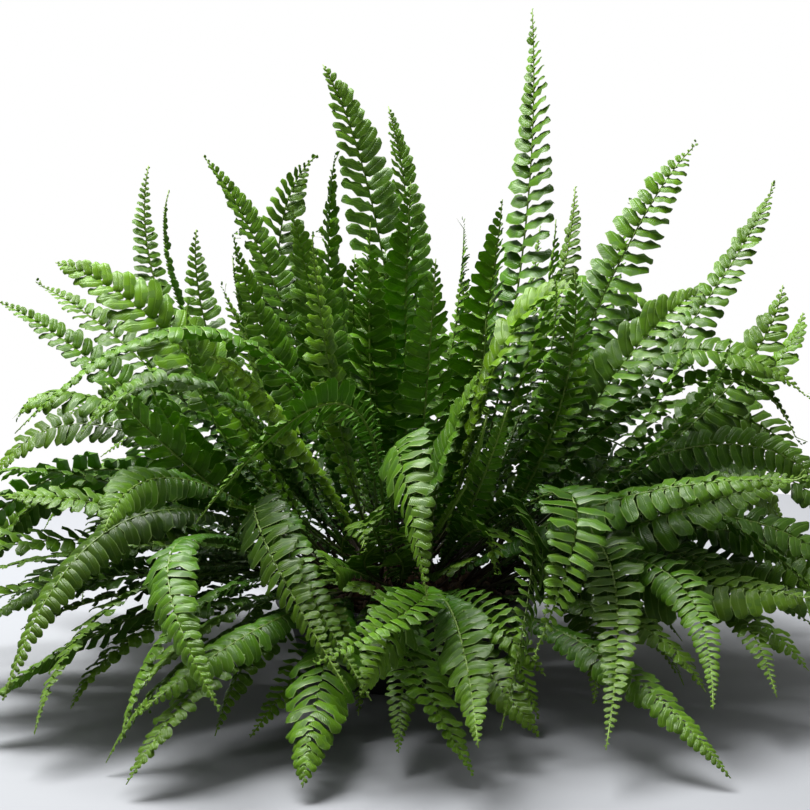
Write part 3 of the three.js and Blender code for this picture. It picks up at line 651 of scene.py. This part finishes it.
# a crown: a short stump set with papery scales that the stalks come out of
stump = {"profile": ((0.72, -crown["below"] * 0.5), (1, -3), (0.97, 2), (0.84, 6), (0.5, 9.5), (0.12, 11)),
         "sides": 10, "lumps": 0.07, "rough": 0.03}
scale = {"heights": (0, 8), "outward": (1, 3.4), "upward": (2.5, 6), "sunk": 0.6, "bow": 0.5,
         "halfWidths": (1.1, 0.9, 0.12), "halfThickness": 0.18}


def growCrown(gathered, base, seed):
    chance = np.random.default_rng(seed)
    sides = stump["sides"]
    turns = np.arange(sides) * 2 * math.pi / sides
    points = []
    for width, height in stump["profile"]:
        lumps = 1 + stump["lumps"] * np.sin(turns * 3 + seed) + chance.normal(0, stump["rough"], sides)
        reach = crown["radius"] * width * lumps
        points.append(np.stack((base["x"] + reach * np.cos(turns), base["y"] + reach * np.sin(turns),
                                np.full(sides, base["ground"] + height)), axis=1))
    rings = len(points)
    gathered.add(np.concatenate(points), tubeQuads(rings, sides) + capQuads(rings, sides), 2)
    thin = scale["halfThickness"]
    for _ in range(crown["scales"]):
        angle = chance.uniform(0, 2 * math.pi)
        height = chance.uniform(*scale["heights"])
        outward = np.array((math.cos(angle), math.sin(angle), 0))
        aside = np.array((-math.sin(angle), math.cos(angle), 0))
        reach = crown["radius"] * (0.98 - 0.04 * height)
        foot = np.array((base["x"], base["y"], base["ground"] + height)) + outward * (reach - scale["sunk"])
        tip = foot + outward * chance.uniform(*scale["outward"])
        tip = tip + np.array((0, 0, chance.uniform(*scale["upward"])))
        rows = zip((foot, (foot + tip) / 2 + outward * scale["bow"], tip), scale["halfWidths"])
        points = [at + offset for at, wide in rows
                  for offset in (aside * wide, outward * thin, -aside * wide, -outward * thin)]
        gathered.add(np.array(points), leafletFaces(3), 2)


def linear(shade):
    parts = [int(shade[i:i + 2], 16) / 255 for i in (1, 3, 5)]
    return tuple(p / 12.92 if p <= 0.04045 else ((p + 0.055) / 1.055) ** 2.4 for p in parts) + (1,)


# adds a node: settings are its own fields, its sockets' values or a colour ramp's stops, and links
# say which output feeds a socket, where a node stands for its first output
def addNode(tree, kind, settings=None, links=None):
    node = tree.nodes.new("ShaderNode" + kind)
    for key, value in (settings or {}).items():
        if key == "stops":
            ramp = node.color_ramp.elements
            while len(ramp) < len(value):
                ramp.new(0.5)
            for stop, (at, shade) in zip(ramp, value):
                stop.position = at
                stop.color = linear(shade)
        elif isinstance(key, str) and hasattr(node, key):
            setattr(node, key, value)
        else:
            node.inputs[key].default_value = value
    for key, source in (links or {}).items():
        tree.links.new(source if hasattr(source, "is_output") else source.outputs[0], node.inputs[key])
    return node


def newMaterial(name):
    material = bpy.data.materials.new(name)
    material.use_nodes = True
    material.node_tree.nodes.clear()
    return material, material.node_tree


# Fern leaflet: a thin waxy blade. It gives a soft sheen on the upper face, and it lets a yellower
# light through. Its midrib is paler, its rim is painted paler and greyer as painted sheen and
# edge glow, and the underside is dull.
# the colours by age also carry the painted shade and painted light given by a frond's height
leafletLook = {"agesAndShade": ((0, "#6a9610"), (0.25, "#48820c"), (0.5, "#2c6609"), (0.78, "#1a4a08"),
                        (1, "#12370a")),
               "tip": "#8cb82c", "tipShare": 0.6, "rim": "#a8c870", "rimShare": 0.8, "midribShare": 0.14,
               "under": "#3a6120", "underShare": 0.4, "own": (0.78, 1.16), "blotching": 0.34,
               "light": "#86b024", "lightShare": 0.45, "through": 0.33,
               "roughness": (0.24, 0.4), "underRoughness": 0.2, "ior": 1.45, "shine": 0.32}


def leafletMaterial():
    look = leafletLook
    material, tree = newMaterial("waxyFernLeaflet")
    tone = addNode(tree, "Attribute", {"attribute_name": "leafTone"})
    tipness, own, ageAndShade = addNode(tree, "SeparateColor", links={0: tone}).outputs[:3]
    place = addNode(tree, "TexCoord").outputs["Object"]
    spread = addNode(tree, "SeparateXYZ", links={0: addNode(tree, "UVMap", {"uv_map": "leaf"})})
    offset = addNode(tree, "Math", {"operation": "SUBTRACT", 1: 0.5}, {0: spread.outputs["X"]})
    offset = addNode(tree, "Math", {"operation": "ABSOLUTE"}, {0: offset})
    # blotches of 9 mm, the size of a leaflet
    blotch = addNode(tree, "TexNoise", {"Scale": 110, "Detail": 3}, {"Vector": place})
    # painted shade: the age channel also darkens low fronds and lightens high ones
    agedAndShaded = addNode(tree, "Math", {"operation": "MULTIPLY_ADD", 1: look["blotching"]}, {0: blotch, 2: ageAndShade})
    agedAndShaded = addNode(tree, "Math", {"operation": "SUBTRACT", 1: look["blotching"] / 2}, {0: agedAndShaded})
    colour = addNode(tree, "ValToRGB", {"stops": look["agesAndShade"]}, {0: agedAndShaded})
    tipShare = addNode(tree, "Math", {"operation": "MULTIPLY", 1: look["tipShare"]}, {0: tipness})
    # painted sheen and edge glow: the rim of each half is painted paler and greyer
    rim = addNode(tree, "MapRange", {"interpolation_type": "SMOOTHSTEP", "From Min": 0.41, "From Max": 0.5,
                                     "To Max": look["rimShare"]}, {"Value": offset})
    midrib = addNode(tree, "MapRange", {"interpolation_type": "SMOOTHSTEP", "From Min": 0.07, "From Max": 0,
                                        "To Max": look["midribShare"]}, {"Value": offset})
    pale = addNode(tree, "Math", {"operation": "MAXIMUM"}, {0: rim, 1: midrib})
    under = addNode(tree, "Math", {"operation": "LESS_THAN", 1: 0.5}, {0: tone.outputs["Alpha"]})
    underShare = addNode(tree, "Math", {"operation": "MULTIPLY", 1: look["underShare"]}, {0: under})
    colour = colour.outputs[0]
    for share, shade in ((tipShare, look["tip"]), (pale, look["rim"]), (underShare, look["under"])):
        layer = addNode(tree, "Mix", {"data_type": "RGBA", 7: linear(shade)}, {0: share, 6: colour})
        colour = layer.outputs[2]
    value = addNode(tree, "MapRange", {"To Min": look["own"][0], "To Max": look["own"][1]}, {"Value": own})
    colour = addNode(tree, "HueSaturation", links={"Value": value, "Color": colour})
    rough = addNode(tree, "MapRange", {"To Min": look["roughness"][0], "To Max": look["roughness"][1]},
                    {"Value": blotch})
    rough = addNode(tree, "Math", {"operation": "MULTIPLY_ADD", 1: look["underRoughness"]},
                    {0: under, 2: rough})
    # side veins 1.6 mm apart leave the midrib at a slant, drawn a little coarser than the real ones
    slant = addNode(tree, "Math", {"operation": "MULTIPLY", 1: 0.55}, {0: offset})
    veinAt = addNode(tree, "Math", {"operation": "SUBTRACT"}, {0: spread.outputs["Y"], 1: slant})
    vein = addNode(tree, "Math", {"operation": "MULTIPLY", 1: 78}, {0: veinAt})
    vein = addNode(tree, "Math", {"operation": "SINE"}, {0: vein})
    groove = addNode(tree, "MapRange", {"interpolation_type": "SMOOTHSTEP", "From Max": 0.1},
                     {"Value": offset})
    height = addNode(tree, "Math", {"operation": "MULTIPLY_ADD", 1: 0.16}, {0: vein, 2: groove})
    bump = addNode(tree, "Bump", {"Strength": 0.5, "Distance": 0.0005}, {"Height": height})
    waxy = addNode(tree, "BsdfPrincipled", {"IOR": look["ior"], "Specular IOR Level": look["shine"]},
                   {"Base Color": colour, "Roughness": rough, "Normal": bump})
    glow = addNode(tree, "Mix", {"data_type": "RGBA", 0: look["lightShare"], 7: linear(look["light"])},
                   {6: colour})
    shining = addNode(tree, "BsdfTranslucent", links={"Color": glow.outputs[2], "Normal": bump})
    both = addNode(tree, "MixShader", {0: look["through"]}, {1: waxy, 2: shining})
    addNode(tree, "OutputMaterial", links={0: both})
    return material


# Fern stalk: tough green rib, brown and scurfy where it leaves the crown, matt with a faint shine.
stalkLook = {"foot": "#2c2012", "stalk": "#4c6424", "tip": "#7d9c3a", "roughness": 0.52, "ior": 1.45}


def stalkMaterial():
    look = stalkLook
    material, tree = newMaterial("greenFernStalk")
    tone = addNode(tree, "Attribute", {"attribute_name": "leafTone"})
    parts = addNode(tree, "SeparateColor", links={0: tone})
    place = addNode(tree, "TexCoord").outputs["Object"]
    # scurf of 1.4 mm
    scurf = addNode(tree, "TexNoise", {"Scale": 700, "Detail": 2}, {"Vector": place})
    stops = ((0, look["foot"]), (0.07, look["foot"]), (0.24, look["stalk"]), (1, look["tip"]))
    colour = addNode(tree, "ValToRGB", {"stops": stops}, {0: parts})
    value = addNode(tree, "MapRange", {"To Min": 0.7, "To Max": 1.3}, {"Value": scurf})
    colour = addNode(tree, "HueSaturation", links={"Value": value, "Color": colour})
    bump = addNode(tree, "Bump", {"Strength": 0.4, "Distance": 0.0003}, {"Height": scurf})
    stalk = addNode(tree, "BsdfPrincipled", {"Roughness": look["roughness"], "IOR": look["ior"]},
                    {"Base Color": colour, "Normal": bump})
    addNode(tree, "OutputMaterial", links={0: stalk})
    return material


# Crown chaff: dry papery scales, chestnut flecked with paler brown, dull.
chaffLook = {"dark": "#261a0f", "pale": "#5a4226", "roughness": 0.8, "ior": 1.45}


def chaffMaterial():
    look = chaffLook
    material, tree = newMaterial("dryCrownChaff")
    place = addNode(tree, "TexCoord").outputs["Object"]
    # flecks of 2.4 mm, about as wide as a scale
    grain = addNode(tree, "TexNoise", {"Scale": 420, "Detail": 4}, {"Vector": place})
    colour = addNode(tree, "ValToRGB", {"stops": ((0.35, look["dark"]), (0.7, look["pale"]))}, {0: grain})
    bump = addNode(tree, "Bump", {"Strength": 0.6, "Distance": 0.0004}, {"Height": grain})
    chaff = addNode(tree, "BsdfPrincipled", {"Roughness": look["roughness"], "IOR": look["ior"]},
                    {"Base Color": colour, "Normal": bump})
    addNode(tree, "OutputMaterial", links={0: chaff})
    return material


frondMaterials = [leafletMaterial(), stalkMaterial(), chaffMaterial()]
triangles = 0
for index, base in enumerate(crowns):
    number = "%02d" % (index + 1)
    gathered = Gathered()
    for order, frond in enumerate(base["fronds"]):
        growFrond(gathered, frond, 1000 * (index + 1) + order)
    growCrown(gathered, base, 7000 + index)
    piece = gathered.made("tuft_" + number, frondMaterials)
    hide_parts("fern_tuft_" + number)
    triangles += 2 * len(piece.data.polygons)
print("tufts grown:", triangles, "triangles")

# croziers: young fronds still rolled up, on thin stalks between the grown ones
croziers = [dict(tip=(54, -112, 200), bend=(40, -96, 130), root=(12, -46), turns=1.5, radius=3.6),
            dict(tip=(42, -122, 158), bend=(22, -104, 118), root=(-2, -50), turns=1.4, radius=3.0),
            dict(tip=(-112, -150, 146), bend=(-84, -110, 136), root=(-30, -48), turns=1.2, radius=2.6),
            dict(tip=(-26, 20, 250), bend=(-20, 12, 160), root=(-14, 8), turns=1.5, radius=3.4),
            dict(tip=(34, 96, 214), bend=(28, 60, 150), root=(20, 40), turns=1.4, radius=3.2)]
young = {"half": 3.6, "bare": 0.45, "stalk": (0.95, 0.75),
         "look": {"fine": False, "ageAndShade": 0.02, "lean": 40, "sickle": 10, "lift": -30, "droop": -20,
                  "louvre": 10, "seek": 0}}
gathered = Gathered()
for order, wish in enumerate(croziers):
    nearest = crowns[crownsNear(wish["root"])[0]]
    frond = shapedFrond(nearest, dict(wish, half=young["half"], bare=young["bare"]))
    table = ribTable(frond, wish)
    growRib(gathered, table, 0, young["stalk"])
    growLeaflets(gathered, frond, table, young["look"], np.random.default_rng(40 + order))
piece = gathered.made("croziers", frondMaterials)
print("croziers added")


# Potting soil: dark peat and fine bark, damp, dull, with paler fibres.
soilLook = {"dark": "#140e09", "mid": "#251a11", "pale": "#46341f", "roughness": 0.92, "ior": 1.4}


def soilMaterial():
    look = soilLook
    material, tree = newMaterial("dampPottingPeat")
    place = addNode(tree, "TexCoord").outputs["Object"]
    # clods of 6 mm and crumbs of 2 mm
    clod = addNode(tree, "TexNoise", {"Scale": 160, "Detail": 5}, {"Vector": place})
    crumb = addNode(tree, "TexVoronoi", {"Scale": 520}, {"Vector": place})
    shade = addNode(tree, "Math", {"operation": "MULTIPLY_ADD", 1: 0.35}, {0: crumb, 2: clod})
    stops = ((0.4, look["dark"]), (0.62, look["mid"]), (0.86, look["pale"]))
    colour = addNode(tree, "ValToRGB", {"stops": stops}, {0: shade})
    bump = addNode(tree, "Bump", {"Strength": 0.9, "Distance": 0.0012}, {"Height": shade})
    peat = addNode(tree, "BsdfPrincipled", {"Roughness": look["roughness"], "IOR": look["ior"]},
                   {"Base Color": colour, "Normal": bump})
    addNode(tree, "OutputMaterial", links={0: peat})
    return material


# a round body from rings of points, each ring given as its radius and height
def turnedBody(rings, sides, lumps=None):
    turns = np.arange(sides) * 2 * math.pi / sides
    points = []
    for radius, height in rings:
        ring = np.stack((radius * np.cos(turns), radius * np.sin(turns), np.full(sides, height)), axis=1)
        points.append(lumps(ring) if lumps else ring)
    return np.concatenate(points), np.array(tubeQuads(len(rings), sides))


def soilLumps(ring):
    x, y = ring[:, 0], ring[:, 1]
    bumps = (np.sin(x * 0.31 + 1.3) * np.cos(y * 0.27) + 0.7 * np.sin(x * 0.74 - y * 0.61)
             + 0.5 * np.cos(x * 1.37 + y * 1.21 + 0.4))
    top = ring[:, 2] > soil["edgeHeight"] - 1
    ring[:, 2] += np.where(top, bumps * 0.7 - 0.8, 0)
    return ring


def soilMound():
    def inner(height):
        return pot["baseRadius"] + pot["slope"] * height - pot["wall"] - soil["gap"] - 0.4

    bottom = pot["floor"] + soil["gap"]
    edge = inner(soil["edgeHeight"])
    rings = [(0.4, bottom), (inner(bottom), bottom), (inner(30), 30), (edge, soilHeight(edge) - 1.5)]
    for i in range(1, soil["topRings"]):
        radius = edge * (1 - i / soil["topRings"])
        rings.append((radius, soilHeight(radius)))
    rings.append((0.4, soilHeight(0)))
    points, quads = turnedBody(rings, pot["sides"], soilLumps)
    chance = np.random.default_rng(5)
    allPoints, allQuads = [points], [quads]
    # crumbs of peat and bark, 2 to 6 mm, lie half sunk in the top
    corners = np.array([(x, y, z) for z in (-1, 1) for y in (-1, 1) for x in (-1, 1)], dtype=float)
    faces = np.array([(0, 2, 3, 1), (4, 5, 7, 6), (0, 1, 5, 4), (2, 6, 7, 3), (0, 4, 6, 2), (1, 3, 7, 5)])
    for i in range(soil["crumbs"]):
        radius = (edge - 3) * math.sqrt(chance.random())
        angle = chance.uniform(0, 2 * math.pi)
        size = chance.uniform(0.9, 2.6)
        turn = chance.uniform(0, math.pi)
        worn = corners * (1 + chance.normal(0, 0.22, (8, 3)))
        crumb = worn * (size * chance.uniform(0.7, 1.5), size * 0.8, size * 0.6)
        laid = np.stack((crumb[:, 0] * math.cos(turn) - crumb[:, 1] * math.sin(turn),
                         crumb[:, 0] * math.sin(turn) + crumb[:, 1] * math.cos(turn), crumb[:, 2]), axis=1)
        place = np.array((radius * math.cos(angle), radius * math.sin(angle), soilHeight(radius) - 0.3))
        allPoints.append(laid + place)
        allQuads.append(faces + len(points) + 8 * i)
    return meshPiece("pottingSoil", np.concatenate(allPoints), np.concatenate(allQuads), [soilMaterial()])


piece = soilMound()
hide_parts("soil")


# Nursery pot: injection-moulded polypropylene, charcoal, with the mould's fine matt grain.
potLook = {"plastic": "#26282a", "dust": "#3c3b38", "roughness": (0.44, 0.66), "ior": 1.49}


def potMaterial():
    look = potLook
    material, tree = newMaterial("mouldedCharcoalPolypropylene")
    place = addNode(tree, "TexCoord").outputs["Object"]
    # dust in clouds of 4 cm
    cloud = addNode(tree, "TexNoise", {"Scale": 26, "Detail": 4}, {"Vector": place})
    # mould grain of about 0.5 mm, drawn at 1 mm so that it shows
    grain = addNode(tree, "TexNoise", {"Scale": 900, "Detail": 2}, {"Vector": place})
    colour = addNode(tree, "ValToRGB", {"stops": ((0.45, look["plastic"]), (0.8, look["dust"]))}, {0: cloud})
    rough = addNode(tree, "MapRange", {"To Min": look["roughness"][0], "To Max": look["roughness"][1]},
                    {"Value": cloud})
    bump = addNode(tree, "Bump", {"Strength": 0.3, "Distance": 0.0002}, {"Height": grain})
    plastic = addNode(tree, "BsdfPrincipled", {"IOR": look["ior"]},
                      {"Base Color": colour, "Roughness": rough, "Normal": bump})
    addNode(tree, "OutputMaterial", links={0: plastic})
    return material


# a round cutter that stands through the pot's floor
def drainCutter(angle):
    sides = 24
    turns = np.arange(sides) * 2 * math.pi / sides
    ring = np.stack((np.cos(turns), np.sin(turns)), axis=1) * pot["drainRadius"]
    ring += np.array((math.cos(angle), math.sin(angle))) * pot["drainCircle"]
    points = np.concatenate([np.column_stack((ring, np.full(sides, height))) for height in (-4, 8)])
    mesh = bpy.data.meshes.new("drain")
    mesh.from_pydata((points * 0.001).tolist(), [], tubeQuads(2, sides) + capQuads(2, sides))
    cutter = bpy.data.objects.new("drain", mesh)
    bpy.context.collection.objects.link(cutter)
    return cutter


def potBody():
    base, top, floor, wall = pot["baseRadius"], pot["height"], pot["floor"], pot["wall"]
    rimOut = pot["topRadius"] + pot["rimWidth"]
    rimLow = top - pot["rimHeight"]
    inside = pot["topRadius"] - wall

    def wallAt(height):
        return base + pot["slope"] * height

    # from under the base, up the wall, round the rim and down inside, with every edge rounded
    rings = [(30, 1.2), (34, 0.4), (38, 0), (base - 2.4, 0), (base - 0.9, 0.35), (base - 0.1, 1.1),
             (wallAt(3), 3), (wallAt(rimLow - 0.7), rimLow - 0.7), (wallAt(rimLow) + 0.5, rimLow),
             (rimOut - 1.1, rimLow), (rimOut - 0.3, rimLow + 0.3), (rimOut, rimLow + 1.1),
             (rimOut, top - 1.6), (rimOut - 0.35, top - 0.6), (rimOut - 1.2, top),
             (inside + 0.6, top), (inside + 0.1, top - 0.4), (inside - 0.1, top - 1.2),
             (wallAt(6) - wall, 6), (wallAt(3) - wall - 1.4, floor + 0.5), (base - wall - 4, floor),
             (30, floor)]
    points, quads = turnedBody(rings, pot["sides"])
    caps = np.array(capQuads(len(rings), pot["sides"]))
    body = meshPiece("nurseryPot", points, np.concatenate((quads, caps)), [potMaterial()])
    cutters = [drainCutter((i + 0.5) * 2 * math.pi / pot["drainCount"]) for i in range(pot["drainCount"])]
    for cutter in cutters:
        cut = body.modifiers.new("drain", "BOOLEAN")
        cut.operation = "DIFFERENCE"
        cut.solver = "EXACT"
        cut.object = cutter
    bpy.context.view_layer.update()
    finished = bpy.data.meshes.new_from_object(body.evaluated_get(bpy.context.evaluated_depsgraph_get()))
    body.modifiers.clear()
    body.data = finished
    for cutter in cutters:
        bpy.data.objects.remove(cutter)
    return body


piece = potBody()
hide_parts("pot")
print("pot and soil made")

# Floor: a pale painted board, matt. It ends behind the mound, so the backdrop stays plain white.
floorLook = {"radius": 820, "thickness": 8, "bevel": (3, 2), "paint": "#929498", "roughness": 0.6}


def floorMaterial():
    material, tree = newMaterial("paleMattPaint")
    paint = addNode(tree, "BsdfPrincipled", {"Base Color": linear(floorLook["paint"]),
                                             "Roughness": floorLook["roughness"]})
    addNode(tree, "OutputMaterial", links={0: paint})
    return material


reach = floorLook["radius"]
inset, drop = floorLook["bevel"]
rings = [(reach, -floorLook["thickness"]), (reach, -drop), (reach - inset, 0), (500, 0), (200, 0), (0.5, 0)]
points, quads = turnedBody(rings, pot["sides"])
board = bpy.data.meshes.new("floor")
board.from_pydata((points * 0.001).tolist(), [], quads.tolist())
board.materials.append(floorMaterial())
floor = bpy.data.objects.new("floor", board)
bpy.context.collection.objects.link(floor)

# one large soft lamp stands above and behind at the left, so the leaves shine and glow, and soft
# daylight comes from the ceiling and the walls, while the camera sees a plain white backdrop
light = {"ceiling": 0.46, "front": 0.14, "back": 0.36, "backdrop": 1.0, "lamp": 92, "size": 1.2,
         "place": (-0.5, 0.45, 1.75), "aim": (0, 0, 0.15)}
world = bpy.data.worlds.new("paleStudio")
world.use_nodes = True
room = world.node_tree
room.nodes.clear()
towards = addNode(room, "TexCoord").outputs["Generated"]
towards = addNode(room, "SeparateXYZ", links={0: towards})
wall = addNode(room, "MapRange", {"interpolation_type": "SMOOTHSTEP", "From Min": -0.5, "From Max": 0.9,
                                  "To Min": light["front"], "To Max": light["back"]},
               {"Value": towards.outputs["Y"]})
height = addNode(room, "MapRange", {"interpolation_type": "SMOOTHSTEP", "From Min": 0.05, "From Max": 0.9},
                 {"Value": towards.outputs["Z"]})
glow = addNode(room, "Mix", {3: light["ceiling"]}, {0: height, 2: wall})
lit = addNode(room, "Background", {"Color": (1, 1, 1, 1)}, {"Strength": glow})
plain = addNode(room, "Background", {"Color": (1, 1, 1, 1), "Strength": light["backdrop"]})
seen = addNode(room, "LightPath").outputs["Is Camera Ray"]
shown = addNode(room, "MixShader", links={0: seen, 1: lit, 2: plain})
addNode(room, "OutputWorld", links={"Surface": shown})
bpy.context.scene.world = world
softbox = bpy.data.lights.new("softbox", "AREA")
softbox.shape = "DISK"
softbox.size = light["size"]
softbox.energy = light["lamp"]
lamp = bpy.data.objects.new("softbox", softbox)
lamp.location = light["place"]
lamp.rotation_euler = (Vector(light["aim"]) - Vector(light["place"])).to_track_quat("-Z", "Y").to_euler()
bpy.context.collection.objects.link(lamp)
bpy.context.scene.view_settings.view_transform = "Standard"
print("floor, lights and backdrop set")
